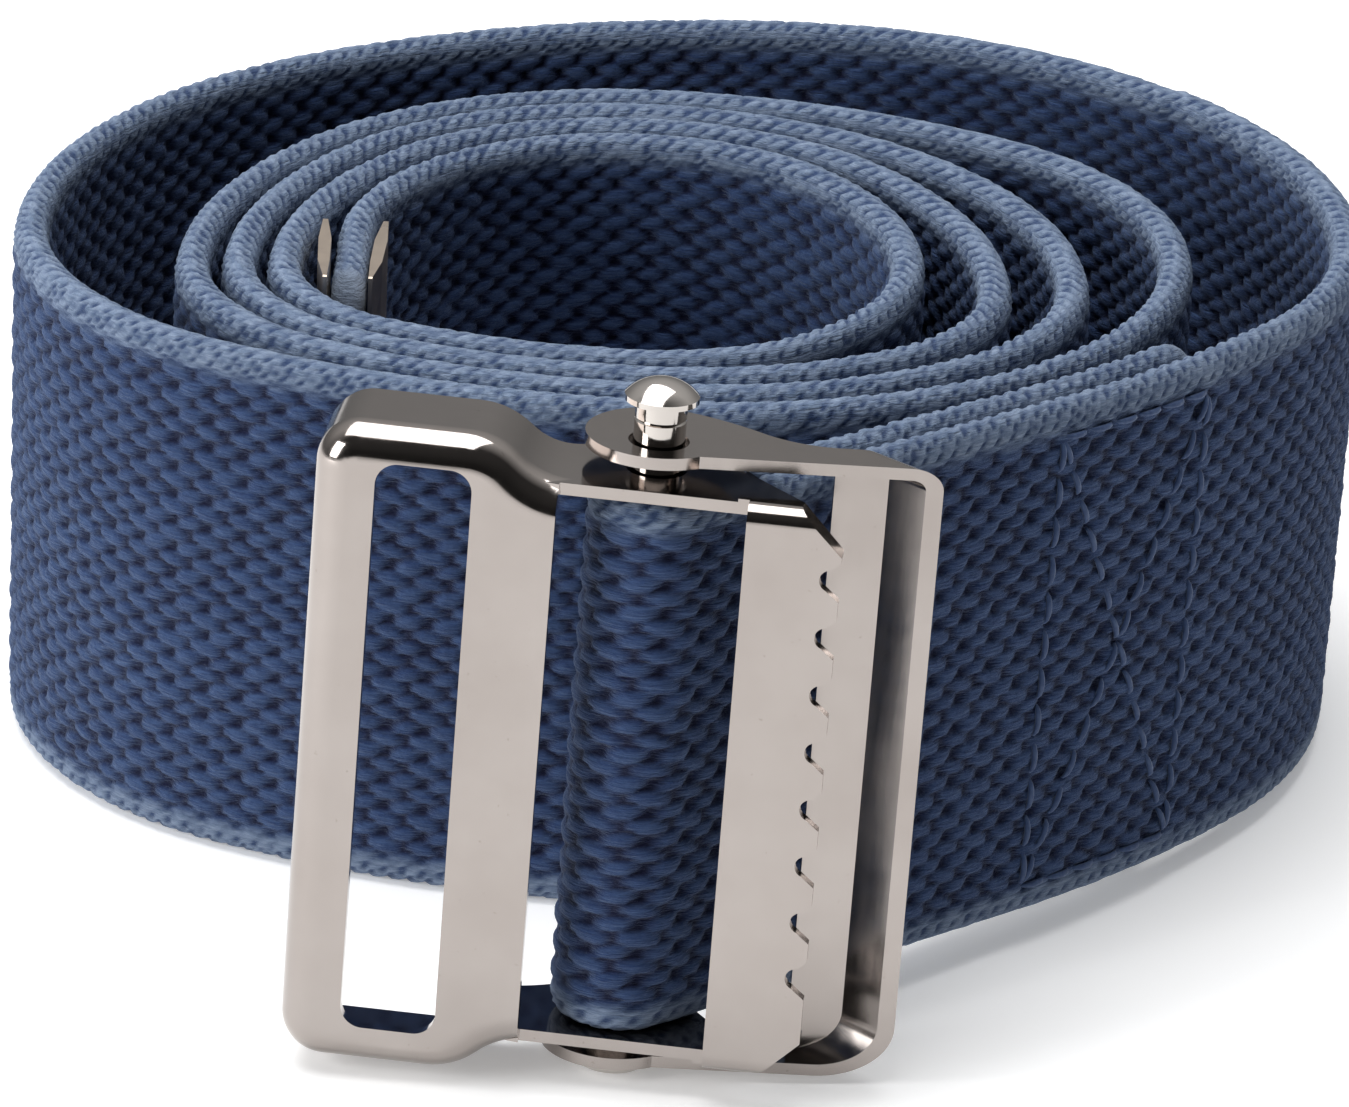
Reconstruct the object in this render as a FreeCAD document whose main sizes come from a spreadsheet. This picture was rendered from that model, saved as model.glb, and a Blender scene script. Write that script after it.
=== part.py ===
import FreeCAD, Part
import math
import os

from FreeCAD import Placement, Rotation, Vector

# A gait belt, coiled on its edge: a cotton strap, its end cap, the two faces of its box stitch
# and a two-frame friction buckle whose frames turn on one rivet that the strap is looped round.
#
# Row frame: millimetres, +Z up, origin under the middle of the coiled belt, floor at z = 0.
# The buckle faces -Y. The strap's end rises a little from the floor to the middle of the taller
# buckle, so the rivet leans by the same slope.

os.makedirs("parts", exist_ok=True)
doc = FreeCAD.newDocument("gait_belt")

# ---------------------------------------------------------------- driving dimensions

SIZES = {
    # strap
    "belt_width": 50.8,
    "belt_thick": 3.6,
    "straight_len": 45.0,
    "flap_len": 70.0,
    "teardrop_len": 16.0,
    "ramp_slope": 2.7,
    "strap_heading": 43.9,
    "loop_clear": 0.15,
    # rivet
    "pin_foot_x": -3.8,
    "pin_foot_y": -65.5,
    "pin_radius": 2.3,
    "bore_clear": 0.4,
    "head_radius": 3.3,
    "head_rim": 0.5,
    "head_high": 2.0,
    "head_stand": 3.8,
    "tail_radius": 3.45,
    "tail_high": 0.65,
    "tail_gap": 0.4,
    # pressed sheet of both frames
    "plate": 1.1,
    "ear_gap": 0.1,
    "frame_gap": 1.5,
    "ear_reach": 5.5,
    # toothed front frame
    "front_yaw": -5.5,
    "front_face": 8.0,
    "front_left": -29.3,
    "front_tips": 17.3,
    "shoulder_rise": 3.6,
    "left_bend": 3.0,
    "right_bend": 1.6,
    "slot_left": -23.7,
    "slot_right": -15.2,
    "slot_high": 53.6,
    "slot_rise": 0.5,
    "window_left": -7.8,
    "window_right": 8.8,
    "tooth_count": 8.0,
    "tooth_pitch": 5.4,
    "tooth_deep": 2.2,
    "tooth_corner": 3.8,
    # rear jaw frame
    "rear_yaw": 3.0,
    "rear_ear": 6.4,
    "rear_front": 3.6,
    "rear_back": 0.5,
    "rear_ear_shift": 1.8,
    "rear_corner_low": 5.0,
    "rear_corner_high": 2.0,
    "rear_plate_left": 15.6,
    "rear_fold": 20.8,
    "rear_lip": 24.9,
    # end cap of the strap
    "tip_long": 15.0,
    "tip_sheet": 0.6,
    # box stitch
    "stitch_start": 45.5,
    "stitch_long": 20.5,
    "stitch_margin": 3.2,
    "stitch_pitch": 3.6,
    "thread": 0.5,
}

sheet = doc.addObject("Spreadsheet::Sheet", "Sheet")
for row, (alias, value) in enumerate(SIZES.items(), start=1):
    sheet.set(f"A{row}", alias)
    sheet.set(f"B{row}", str(value))
    sheet.setAlias(f"B{row}", alias)
doc.recompute()


def size(alias):
    return float(sheet.get(alias))


WIDTH = size("belt_width")
THICK = size("belt_thick")
PLATE = size("plate")
PIN = size("pin_radius")
SLOPE = math.radians(size("ramp_slope"))
HEADING = math.radians(size("strap_heading"))

# Middle line of the coiled strap, seen from above: the far points of each turn, as
# (right, back, left, front), each an (x, y) where the strap runs square to that side.
# The turns open to the right and pack together at the left, the back and the front.
TURNS = [
    ((62.8, 20.6), (11.0, 73.1), (-62.8, 10.6), (-1.0, -32.2)),
    ((46.8, 12.2), (-4.0, 50.7), (-46.8, 1.6), (-2.0, -28.1)),
    ((36.7, 3.9), (-5.0, 46.5), (-42.4, 1.8), (-3.0, -24.0)),
    ((29.3, 1.7), (-5.0, 42.3), (-38.1, 1.8), (-4.0, -19.9)),
]
LAST_TURN = ((21.1, 7.9), (-5.0, 37.9))
STRAP_END = [(-31.8, 9.3), (-31.8, -5.2)]

# ---------------------------------------------------------------- plan geometry of the strap


def unit(angle):
    return Vector(math.cos(angle), math.sin(angle), 0)


def left_of(direction):
    return Vector(-direction.y, direction.x, 0)


class Bend:
    """One arc of the strap's middle line, from a start point and heading to an end point."""

    def __init__(self, start, heading, end):
        side = left_of(heading)
        chord = end - start
        self.radius = chord.dot(chord) / (2 * chord.dot(side))
        self.centre = start + side * self.radius
        spoke = start - self.centre
        self.first = math.atan2(spoke.y, spoke.x)
        self.turn = 2 * math.atan2(chord.dot(side), chord.dot(heading))
        self.length = abs(self.radius * self.turn)

    def point(self, along, offset):
        """A point at a share of the arc's length, offset to the left of the strap's heading."""
        reach = abs(self.radius) - math.copysign(1, self.radius) * offset
        return self.centre + unit(self.first + self.turn * along) * reach

    def edge(self, offset, begin=0.0, end=1.0):
        middle = (begin + end) / 2
        return Part.Arc(self.point(begin, offset), self.point(middle, offset), self.point(end, offset))


class Run:
    """One straight stretch of the strap's middle line."""

    def __init__(self, start, end):
        self.start = start
        self.end = end
        self.length = (end - start).Length
        self.side = left_of((end - start) * (1 / self.length))

    def point(self, along, offset):
        return self.start + (self.end - self.start) * along + self.side * offset

    def edge(self, offset, begin=0.0, end=1.0):
        return Part.LineSegment(self.point(begin, offset), self.point(end, offset))


def biarc(start, heading0, end, heading1):
    """Two tangent arcs of equal tangent length between two points with given headings."""
    t0 = unit(heading0)
    t1 = unit(heading1)
    span = end - start
    both = t0 + t1
    a = both.dot(both) - 4
    b = -2 * span.dot(both)
    c = span.dot(span)
    tangent = 2 * c / (math.sqrt(b * b - 4 * a * c) - b)
    joint = (start + t0 * tangent + end - t1 * tangent) * 0.5
    first = Bend(start, t0, joint)
    middle = (end - t1 * tangent - start - t0 * tangent).normalize()
    return [first, Bend(joint, middle, end)]


def band(pieces, right, left):
    """The closed outline of a strap that follows pieces, between two offsets to its left."""
    ahead = [piece.edge(right) for piece in pieces]
    back = [piece.edge(left, 1.0, 0.0) for piece in reversed(pieces)]
    far = Part.LineSegment(pieces[-1].point(1.0, right), pieces[-1].point(1.0, left))
    near = Part.LineSegment(pieces[0].point(0.0, left), pieces[0].point(0.0, right))
    return ahead + [far] + back + [near]


def flat(point):
    return Vector(point[0], point[1], 0)


def coil_pieces():
    headings = [math.radians(angle) for angle in (90, 180, 270, 360)]
    stops = [flat(point) for turn in TURNS for point in turn] + [flat(p) for p in LAST_TURN]
    pieces = []
    for index in range(len(stops) - 1):
        here = headings[index % 4]
        pieces += biarc(stops[index], here, stops[index + 1], headings[(index + 1) % 4])
    straight = Run(flat(STRAP_END[0]), flat(STRAP_END[1]))
    pieces += biarc(stops[-1], headings[1], straight.start, headings[2])
    return pieces + [straight]


# ---------------------------------------------------------------- document helpers


def sketch(name, edges, placement=None):
    """A sketch of ready-made edges, standing on its own in the document."""
    made = doc.addObject("Sketcher::SketchObject", name)
    for edge in edges:
        made.addGeometry(edge, False)
    if placement:
        made.Placement = placement
    return made


def polygon(points):
    corners = [Vector(*point, 0) for point in points]
    return [Part.LineSegment(a, b) for a, b in zip(corners, corners[1:] + corners[:1])]


def extrude(name, profile, length, start=0.0, direction=Vector(0, 0, 1)):
    """A prism on a sketch; length is an expression on the sheet, start a shift along it."""
    made = doc.addObject("Part::Extrusion", name)
    made.Base = profile
    made.DirMode = "Custom"
    made.Dir = direction
    made.Solid = True
    made.setExpression("LengthFwd", length)
    made.Placement = Placement(direction * start, Rotation())
    return made


def combine(kind, name, base, tool):
    made = doc.addObject(kind, name)
    made.Base = base
    made.Tool = tool
    return made


def fuse(name, members):
    made = doc.addObject("Part::MultiFuse", name)
    made.Shapes = members
    return made


def fillet(name, base, radius, chosen):
    """A fillet on every edge of base that chosen(edge) picks."""
    doc.recompute()
    made = doc.addObject("Part::Fillet", name)
    made.Base = base
    picked = [i for i, edge in enumerate(base.Shape.Edges, start=1) if chosen(edge)]
    made.Edges = [(number, radius, radius) for number in picked]
    return made


# ---------------------------------------------------------------- frames of reference

# The ramp: a plane that climbs towards the rivet, from the floor at the coil's right-hand side.
FIRST = flat(TURNS[0][0])
ALONG = unit(HEADING)
FOOT = Vector(size("pin_foot_x"), size("pin_foot_y"), 0)
RISE = math.tan(SLOPE) * (FIRST - FOOT).dot(ALONG)

# On the strap's end: x along the strap away from the rivet, y to the coil's side, z along the rivet.
END_FRAME = Placement(FOOT, Rotation(Vector(0, 0, 1), math.degrees(HEADING))
                      * Rotation(Vector(0, 1, 0), size("ramp_slope")))
PIN_AXIS = END_FRAME.Rotation.multVec(Vector(0, 0, 1))
LEAN = Rotation(Vector(0, 0, 1), PIN_AXIS)
STRAP_LOW = RISE * math.cos(SLOPE)
MIDDLE = STRAP_LOW + WIDTH / 2


def buckle_frame(yaw):
    """x to the right, y away from the viewer, z up the rivet, turned about it by yaw degrees."""
    return Placement(FOOT, LEAN * Rotation(Vector(0, 0, 1), yaw))


# ---------------------------------------------------------------- webbing

LOOP_INNER = PIN + size("loop_clear")
LOOP_OUTER = LOOP_INNER + THICK
STRAIGHT = size("straight_len")


def end_point(along, across):
    """A point of the strap's end in plan, at the floor, from its place in END_FRAME."""
    return FOOT + ALONG * along + left_of(ALONG) * across


def ramp_pieces():
    """From the end of the straight stretch, round the right-hand side, to the coil's start."""
    start = end_point(STRAIGHT, -(LOOP_INNER + THICK / 2))
    return biarc(start, HEADING, FIRST, math.radians(90))


def end_profile():
    """The strap's straight end: its outer layer, the loop round the rivet and the flap."""
    outer = -LOOP_OUTER
    inner = -LOOP_INNER
    drop = size("teardrop_len")
    overlap = STRAIGHT + 3.0
    # the flap comes off the loop and settles on the strap's inner face in an S of two arcs
    settle = biarc(Vector(0, LOOP_OUTER, 0), 0.0, Vector(drop, THICK + inner, 0), 1e-9)
    hole_end = Vector(drop, inner, 0)
    outline = [
        Part.LineSegment(Vector(overlap, outer, 0), Vector(0, outer, 0)),
        Part.Arc(Vector(0, outer, 0), Vector(-LOOP_OUTER, 0, 0), Vector(0, LOOP_OUTER, 0)),
        settle[0].edge(0),
        settle[1].edge(0),
        Part.LineSegment(Vector(drop, THICK + inner, 0), Vector(overlap, THICK + inner, 0)),
        Part.LineSegment(Vector(overlap, THICK + inner, 0), Vector(overlap, outer, 0)),
    ]
    # inside, the loop narrows to a point where the flap meets the strap
    throat = biarc(Vector(0, LOOP_INNER, 0), 0.0, hole_end, 1e-9)
    inside = [
        Part.Arc(Vector(0, LOOP_INNER, 0), Vector(-LOOP_INNER, 0, 0), Vector(0, inner, 0)),
        Part.LineSegment(Vector(0, inner, 0), hole_end),
        throat[1].edge(0, 1.0, 0.0),
        throat[0].edge(0, 1.0, 0.0),
    ]
    return outline, inside


def make_webbing():
    coil = extrude("coil", sketch("coil_plan", band(coil_pieces(), -THICK / 2, THICK / 2)),
                   "Sheet.belt_width")
    # the ramped stretch: upright walls, cut top and bottom by the climbing planes
    turn = ramp_pieces()
    share = (size("flap_len") - STRAIGHT) / turn[0].length
    plan = sketch("ramp_plan", band(turn, -THICK / 2, THICK / 2))
    flap_arc = turn[0]
    flap_plan = sketch("flap_plan", [
        flap_arc.edge(THICK / 2, 0.0, share),
        Part.Arc(flap_arc.point(share, THICK / 2), flap_arc.point(share + 0.05, THICK),
                 flap_arc.point(share, THICK * 1.5)),
        flap_arc.edge(THICK * 1.5, share, 0.0),
        Part.LineSegment(flap_arc.point(0, THICK * 1.5), flap_arc.point(0, THICK / 2)),
    ])
    walls = fuse("ramp_walls", [extrude("ramp_strip", plan, "Sheet.belt_width * 1.3"),
                                extrude("ramp_flap", flap_plan, "Sheet.belt_width * 1.3")])
    slab = doc.addObject("Part::Box", "ramp_slab")
    slab.Length = 160
    slab.Width = 200
    slab.setExpression("Height", "Sheet.belt_width")
    slab.Placement = END_FRAME * Placement(Vector(-20, -100, STRAP_LOW), Rotation())
    ramp = combine("Part::Common", "ramp", walls, slab)
    outline, inside = end_profile()
    end = extrude("strap_end", sketch("end_plan", outline + inside), "Sheet.belt_width", STRAP_LOW)
    end.Placement = END_FRAME * end.Placement
    webbing = fuse("webbing", [coil, ramp, end])
    return webbing


# ---------------------------------------------------------------- end cap


def make_strap_tip():
    """A folded sheet cap over the strap's free end: two leaves and a low end fold."""
    skin = size("tip_sheet")
    half = THICK / 2 + 0.05
    x, end_y = STRAP_END[1]
    high = WIDTH + 0.4
    outer = doc.addObject("Part::Box", "tip_outer")
    outer.setExpression("Length", "Sheet.belt_thick + 0.1 + 2 * Sheet.tip_sheet")
    outer.setExpression("Width", "Sheet.tip_long + Sheet.tip_sheet")
    outer.Height = high
    outer.Placement = Placement(Vector(x - half - skin, end_y - 0.1 - skin, 0.2), Rotation())
    inner = doc.addObject("Part::Box", "tip_inner")
    inner.setExpression("Length", "Sheet.belt_thick + 0.1")
    inner.setExpression("Width", "Sheet.tip_long + 1")
    inner.Height = high + 2
    inner.Placement = Placement(Vector(x - half, end_y - 0.1, -0.8), Rotation())
    cap = combine("Part::Cut", "tip_folded", outer, inner)
    # the end fold stops short of both selvedges
    notch = doc.addObject("Part::Box", "tip_notch")
    notch.setExpression("Length", "Sheet.belt_thick + 0.1")
    notch.setExpression("Width", "Sheet.tip_sheet + 1")
    notch.Height = 4
    notch.Placement = Placement(Vector(x - half, end_y - skin - 1, high - 3), Rotation())
    return combine("Part::Cut", "strap_tip", cap, notch)


# ---------------------------------------------------------------- box stitch


def stitch_lines():
    """The box and its cross, as (start, end) pairs of (distance from the rivet, height)."""
    near = size("stitch_start")
    far = near + size("stitch_long")
    low = size("stitch_margin")
    high = WIDTH - low
    return [((near, low), (near, high)), ((far, low), (far, high)),
            ((near, low), (far, low)), ((near, high), (far, high)),
            ((near, low), (far, high)), ((near, high), (far, low))]


def on_strap(distance, height, offset):
    """A point on the strap's ramped arc and the direction square to its face."""
    arc = ramp_pieces()[0]
    share = (distance - STRAIGHT) / arc.length
    foot = arc.point(share, offset)
    climb = RISE - math.tan(SLOPE) * (foot - FOOT).dot(ALONG)
    outward = (arc.point(share, -1) - arc.point(share, 0)).normalize()
    return foot + Vector(0, 0, climb + height / math.cos(SLOPE)), outward


def make_thread(name, offset, facing):
    """One face of the box stitch: short bars of thread lying just clear of the webbing."""
    thick = size("thread")
    solids = []
    for start, end in stitch_lines():
        count = max(2, round(math.dist(start, end) / size("stitch_pitch")))
        for index in range(count):
            ends = []
            for share in ((index + 0.14) / count, (index + 0.86) / count):
                along = [a + (b - a) * share for a, b in zip(start, end)]
                ends.append(on_strap(*along, offset))
            (tail, outward), (tip, _) = ends
            bar = Part.makeCylinder(thick / 2, (tip - tail).Length, tail, tip - tail)
            bar.translate(outward * (facing * (thick / 2 + 0.05)))
            solids.append(bar)
    made = doc.addObject("Part::Feature", name)
    made.Shape = Part.makeCompound(separate(solids))
    made.Placement = Placement()
    return made


def separate(solids):
    """Only the bars that don't run into an earlier bar."""
    kept = []
    for solid in solids:
        near = [other for other in kept if other.BoundBox.intersect(solid.BoundBox)]
        if all(solid.distToShape(other)[0] > 0.05 for other in near):
            kept.append(solid)
    return kept


# ---------------------------------------------------------------- frames with their ears apart


def with_ears_apart(name, pressing, left, yaw):
    """A pressed frame as solids that meet at flat faces: its ears, which hold the bores, and the rest."""
    ears = doc.addObject("Part::Box", name + "_ear_zone")
    ears.setExpression("Length", f"Sheet.ear_reach - ({left})")
    ears.Width = 40
    ears.Height = 100
    ears.Placement = Placement(Vector(left, -20, -20), Rotation())
    rest = combine("Part::Cut", name + "_rest", pressing, ears)
    bored = combine("Part::Common", name + "_bored", pressing, ears)
    frame = doc.addObject("Part::Compound", name)
    frame.Links = [rest, bored]
    frame.Placement = buckle_frame(yaw)
    return frame


# ---------------------------------------------------------------- toothed front frame

EAR_TOP = WIDTH / 2 + size("ear_gap") + PLATE
LEFT_TOP = EAR_TOP + size("shoulder_rise")
FACE = size("front_face")
UPRIGHT = Rotation(Vector(1, 0, 0), 90)


def wavy_outline(left, right, low_half, high_half, corner):
    """Front view of the drawn left section: full height at the slot, easing down to the ear."""
    step_from = size("slot_right") - 0.8
    top = biarc(Vector(step_from, high_half, 0), 0.0, Vector(right, low_half, 0), 1e-9)
    foot = biarc(Vector(right, -low_half, 0), math.pi, Vector(step_from, -high_half, 0), math.pi + 1e-9)
    return [
        Part.LineSegment(Vector(left, -high_half + corner, 0), Vector(left, high_half - corner, 0)),
        corner_arc(left, high_half, corner, 1),
        Part.LineSegment(Vector(left + corner, high_half, 0), Vector(step_from, high_half, 0)),
        top[0].edge(0), top[1].edge(0),
        Part.LineSegment(Vector(right, low_half, 0), Vector(right, -low_half, 0)),
        foot[0].edge(0), foot[1].edge(0),
        Part.LineSegment(Vector(step_from, -high_half, 0), Vector(left + corner, -high_half, 0)),
        corner_arc(left, -high_half, corner, -1),
    ]


def corner_arc(left, top, radius, up):
    """A rounded outer corner on the left-hand side, upper (1) or lower (-1)."""
    middle = radius * (1 - math.sqrt(0.5))
    return Part.Arc(Vector(left, top - up * radius, 0), Vector(left + middle, top - up * middle, 0),
                    Vector(left + radius, top, 0))


def standing(name, edges, depth, back):
    """A prism of a front-view outline, reaching from back to back + depth towards the viewer."""
    plane = Placement(Vector(0, -back, MIDDLE), UPRIGHT)
    made = doc.addObject("Part::Extrusion", name)
    made.Base = sketch(name + "_face", edges, plane)
    made.DirMode = "Custom"
    made.Dir = Vector(0, -1, 0)
    made.Solid = True
    made.setExpression("LengthFwd", depth)
    return made


def at_front(edge, face, axis_min, axis_max):
    """Edges that lie in the front face, between two heights of x."""
    box = edge.BoundBox
    return (abs(box.YMin + face) < 1e-4 and abs(box.YMax + face) < 1e-4
            and box.XMin > axis_min and box.XMax < axis_max)


def make_left_tray():
    """The drawn left section: a shell open at the back, round-shouldered at its front."""
    left = size("front_left")
    right = size("window_left") + 1.0
    bend = size("left_bend")
    outer = standing("left_outer", wavy_outline(left, right, EAR_TOP, LEFT_TOP, 4.0),
                     "Sheet.front_face + 12", -12.0)
    rounded = fillet("left_rounded", outer, bend, lambda e: at_front(e, FACE, left - 1, right - 0.01))
    inner = standing("left_inner", wavy_outline(left + PLATE, right + 3, EAR_TOP - PLATE,
                                                LEFT_TOP - PLATE, 4.0 - PLATE),
                     "Sheet.front_face - Sheet.plate + 14", -14.0)
    hollow = fillet("left_hollow", inner, bend - PLATE,
                    lambda e: at_front(e, FACE - PLATE, left, right + 2.99))
    return combine("Part::Cut", "left_tray", rounded, hollow)


def make_right_tray():
    """The toothed bar with its own shoulders, a shallow channel open at the back and ends."""
    left = size("window_right") - 1.0
    right = size("front_tips")
    half = EAR_TOP + 0.3
    bend = size("right_bend")
    corner = size("tooth_corner")
    box = polygon([(left, -half), (right - corner, -half), (right, corner - half), (right, half - corner),
                   (right - corner, half), (left, half)])
    outer = standing("right_outer", box, "Sheet.front_face + 12", -12.0)

    def along(edge, face):
        return at_front(edge, face, left - 5, right + 5) and edge.BoundBox.XLength > 5

    rounded = fillet("right_rounded", outer, bend, lambda e: along(e, FACE))
    room = half - PLATE
    turn = corner - PLATE * (2 - math.sqrt(2))
    core = polygon([(left - 2, -room), (right - turn, -room), (right + 2, turn + 2 - room),
                    (right + 2, room - turn - 2), (right - turn, room), (left - 2, room)])
    inner = standing("right_inner", core, "Sheet.front_face - Sheet.plate + 14", -14.0)
    hollow = fillet("right_hollow", inner, bend - PLATE, lambda e: along(e, FACE - PLATE))
    return combine("Part::Cut", "right_tray", rounded, hollow)


def flange_plan():
    """Plan of everything the front frame keeps: flange depth, ear lobe and the raked right end."""
    left = size("front_left")
    back = 2.6
    lobe = 7.0
    leave = Vector(lobe * math.sin(math.radians(52)), lobe * math.cos(math.radians(52)), 0)
    tips = size("front_tips") + 0.2
    waist = Vector(9.0, -0.6, 0)
    ease = biarc(Vector(-13.0, back, 0), 0.0, Vector(-4.2, 5.6, 0), math.radians(36))
    return [
        Part.LineSegment(Vector(left - 1, -FACE - 1, 0), Vector(left - 1, back - 4, 0)),
        Part.Arc(Vector(left - 1, back - 4, 0), Vector(left + 0.6, back - 1.2, 0), Vector(left + 4, back, 0)),
        Part.LineSegment(Vector(left + 4, back, 0), Vector(-13.0, back, 0)),
        ease[0].edge(0), ease[1].edge(0),
        Part.Arc(Vector(-4.2, 5.6, 0), Vector(0.6, lobe - 0.03, 0), leave),
        Part.LineSegment(leave, waist),
        Part.LineSegment(waist, Vector(13.4, -FACE + 2.8, 0)),
        Part.LineSegment(Vector(13.4, -FACE + 2.8, 0), Vector(tips, -FACE + 2.2, 0)),
        Part.LineSegment(Vector(tips, -FACE + 2.2, 0), Vector(tips, -FACE - 1, 0)),
        Part.LineSegment(Vector(tips, -FACE - 1, 0), Vector(left - 1, -FACE - 1, 0)),
    ]


def make_ears():
    """The two flat ears of the front frame, joining its halves behind the window."""
    plates = []
    # the ears' front edge is drawn back in an arch
    reach = Part.Arc(Vector(-10.5, -6.1, 0), Vector(1.5, -7.4, 0), Vector(10.5, -6.3, 0))
    outline = [reach, Part.LineSegment(Vector(10.5, -6.3, 0), Vector(10.5, 9, 0)),
               Part.LineSegment(Vector(10.5, 9, 0), Vector(-10.5, 9, 0)),
               Part.LineSegment(Vector(-10.5, 9, 0), Vector(-10.5, -6.1, 0))]
    for name, height in (("upper_ear", MIDDLE + EAR_TOP - PLATE), ("lower_ear", MIDDLE - EAR_TOP)):
        plates.append(extrude(name, sketch(name + "_plan", outline), "Sheet.plate", height))
    return plates


def tooth_gaps():
    """The gullets between the teeth: a round root that opens downwards behind each hooked tip."""
    tips = size("front_tips")
    deep = size("tooth_deep")
    pitch = size("tooth_pitch")
    count = int(size("tooth_count"))
    cutters = []
    for index in range(count):
        level = ((count - 1) / 2 - index) * pitch + 2.0
        root = Vector(tips - deep + 1.4, level, 0)
        wedge = [
            Part.Arc(root + Vector(0, 1.0, 0), root + Vector(-1.0, 0, 0), root + Vector(-0.4, -0.917, 0)),
            Part.LineSegment(root + Vector(-0.4, -0.917, 0), Vector(tips + 0.6, level - 2.4, 0)),
            Part.LineSegment(Vector(tips + 0.6, level - 2.4, 0), Vector(tips + 0.6, level + 2.3, 0)),
            Part.LineSegment(Vector(tips + 0.6, level + 2.3, 0), root + Vector(0, 1.0, 0)),
        ]
        cutters.append(standing(f"gullet_{index + 1}", wedge, "3 * Sheet.plate", FACE - 2 * PLATE))
    return cutters


def rounded_slot(left, right, low, high, radius):
    """A straight-sided opening with rounded corners, in front view."""
    m = radius * (1 - math.sqrt(0.5))
    edges = []
    corners = [(left, high, 1, -1), (right, high, -1, -1), (right, low, -1, 1), (left, low, 1, 1)]
    for x, y, inx, iny in corners:
        across = Vector(x + inx * radius, y, 0)
        along = Vector(x, y + iny * radius, 0)
        edges.append(Part.Arc(along, Vector(x + inx * m, y + iny * m, 0), across))
    edges.append(Part.LineSegment(Vector(left + radius, high, 0), Vector(right - radius, high, 0)))
    edges.append(Part.LineSegment(Vector(left + radius, low, 0), Vector(right - radius, low, 0)))
    edges.append(Part.LineSegment(Vector(left, high - radius, 0), Vector(left, low + radius, 0)))
    edges.append(Part.LineSegment(Vector(right, high - radius, 0), Vector(right, low + radius, 0)))
    return edges


def make_front_frame():
    shell = fuse("front_shell", [make_left_tray(), make_right_tray()] + make_ears())
    plan = extrude("flange_prism", sketch("flange_plan", flange_plan()), "Sheet.belt_width * 1.4", -2.0)
    kept = combine("Part::Common", "front_kept", shell, plan)
    slot_half = size("slot_high") / 2
    slot_plan = rounded_slot(size("slot_left"), size("slot_right"),
                             size("slot_rise") - slot_half, size("slot_rise") + slot_half, 2.0)
    slot = standing("belt_slot", slot_plan, "3 * Sheet.plate", FACE - 2 * PLATE)
    window = standing("loop_window", polygon([
        (size("window_left"), -EAR_TOP - 2), (size("window_right"), -EAR_TOP - 2),
        (size("window_right"), EAR_TOP + 2), (size("window_left"), EAR_TOP + 2)]),
        "3 * Sheet.plate", FACE - 0.3 - 1.4 * PLATE)
    side = doc.addObject("Part::Box", "left_wall_cut")
    side.Length = 4
    side.Width = 20
    side.Height = 2 * LEFT_TOP - 9
    side.Placement = Placement(Vector(size("front_left") - 2, -FACE + size("left_bend") + 0.4,
                                      MIDDLE - LEFT_TOP + 4.5), Rotation())
    bore = doc.addObject("Part::Cylinder", "front_bore")
    bore.setExpression("Radius", "Sheet.pin_radius + Sheet.bore_clear")
    bore.Height = 80
    cutters = fuse("front_cutters", [slot, window, side, bore] + tooth_gaps())
    frame = combine("Part::Cut", "front_pressing", kept, cutters)
    return with_ears_apart("front_frame", frame, -size("ear_reach"), size("front_yaw"))


# ---------------------------------------------------------------- rear jaw frame

REAR_INNER = EAR_TOP + size("frame_gap")


def rear_arm_plan():
    """Plan of one arm: a round ear set a little behind the rivet, drawn down to the jaw."""
    ear = size("rear_ear")
    centre = Vector(0, size("rear_ear_shift"), 0)
    front = -size("rear_front")
    end = size("rear_plate_left") + 0.6
    side = math.sqrt(ear ** 2 - (front - centre.y) ** 2)
    leave = centre + unit(math.radians(65)) * ear
    rake = biarc(leave, math.radians(-25), Vector(end, size("rear_back"), 0), -1e-9)
    return [
        Part.Arc(leave, centre - Vector(ear, 0, 0), Vector(side, front, 0)),
        Part.LineSegment(Vector(side, front, 0), Vector(end, front, 0)),
        Part.LineSegment(Vector(end, front, 0), Vector(end, size("rear_back"), 0)),
        rake[1].edge(0, 1.0, 0.0), rake[0].edge(0, 1.0, 0.0),
    ]


def jaw_block(name, skin, reach):
    """A block with the jaw's flared right-hand face, its skin deep inside the outer one.

    The corners of the flared face are drawn round, the lower one more than the upper one.
    """
    fold = size("rear_fold")
    front = -size("rear_front")
    back = size("rear_back")
    flare = math.atan2(back - front, size("rear_lip") - fold)
    fold_here = fold - skin * math.tan(flare / 2)
    back_here = back - skin
    front_here = front - reach
    left = size("rear_plate_left") - reach
    lip_here = fold_here + (back_here - front_here) / math.tan(flare)
    half = REAR_INNER + PLATE - skin
    plan = polygon([(left, back_here), (fold_here, back_here), (lip_here, front_here), (left, front_here)])
    made = doc.addObject("Part::Extrusion", name)
    made.Base = sketch(name + "_plan", plan, Placement(Vector(0, 0, MIDDLE - half), Rotation()))
    made.DirMode = "Custom"
    made.Dir = Vector(0, 0, 1)
    made.Solid = True
    made.LengthFwd = 2 * half

    def flared(edge, side):
        box = edge.BoundBox
        slanted = box.XLength > 1 and box.YLength > 1
        return slanted and abs(box.Center.z - MIDDLE - side * half) < 1e-4

    low = fillet(name + "_low", made, size("rear_corner_low") - skin, lambda edge: flared(edge, -1))
    return fillet(name + "_high", low, size("rear_corner_high") - skin, lambda edge: flared(edge, 1))


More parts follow.
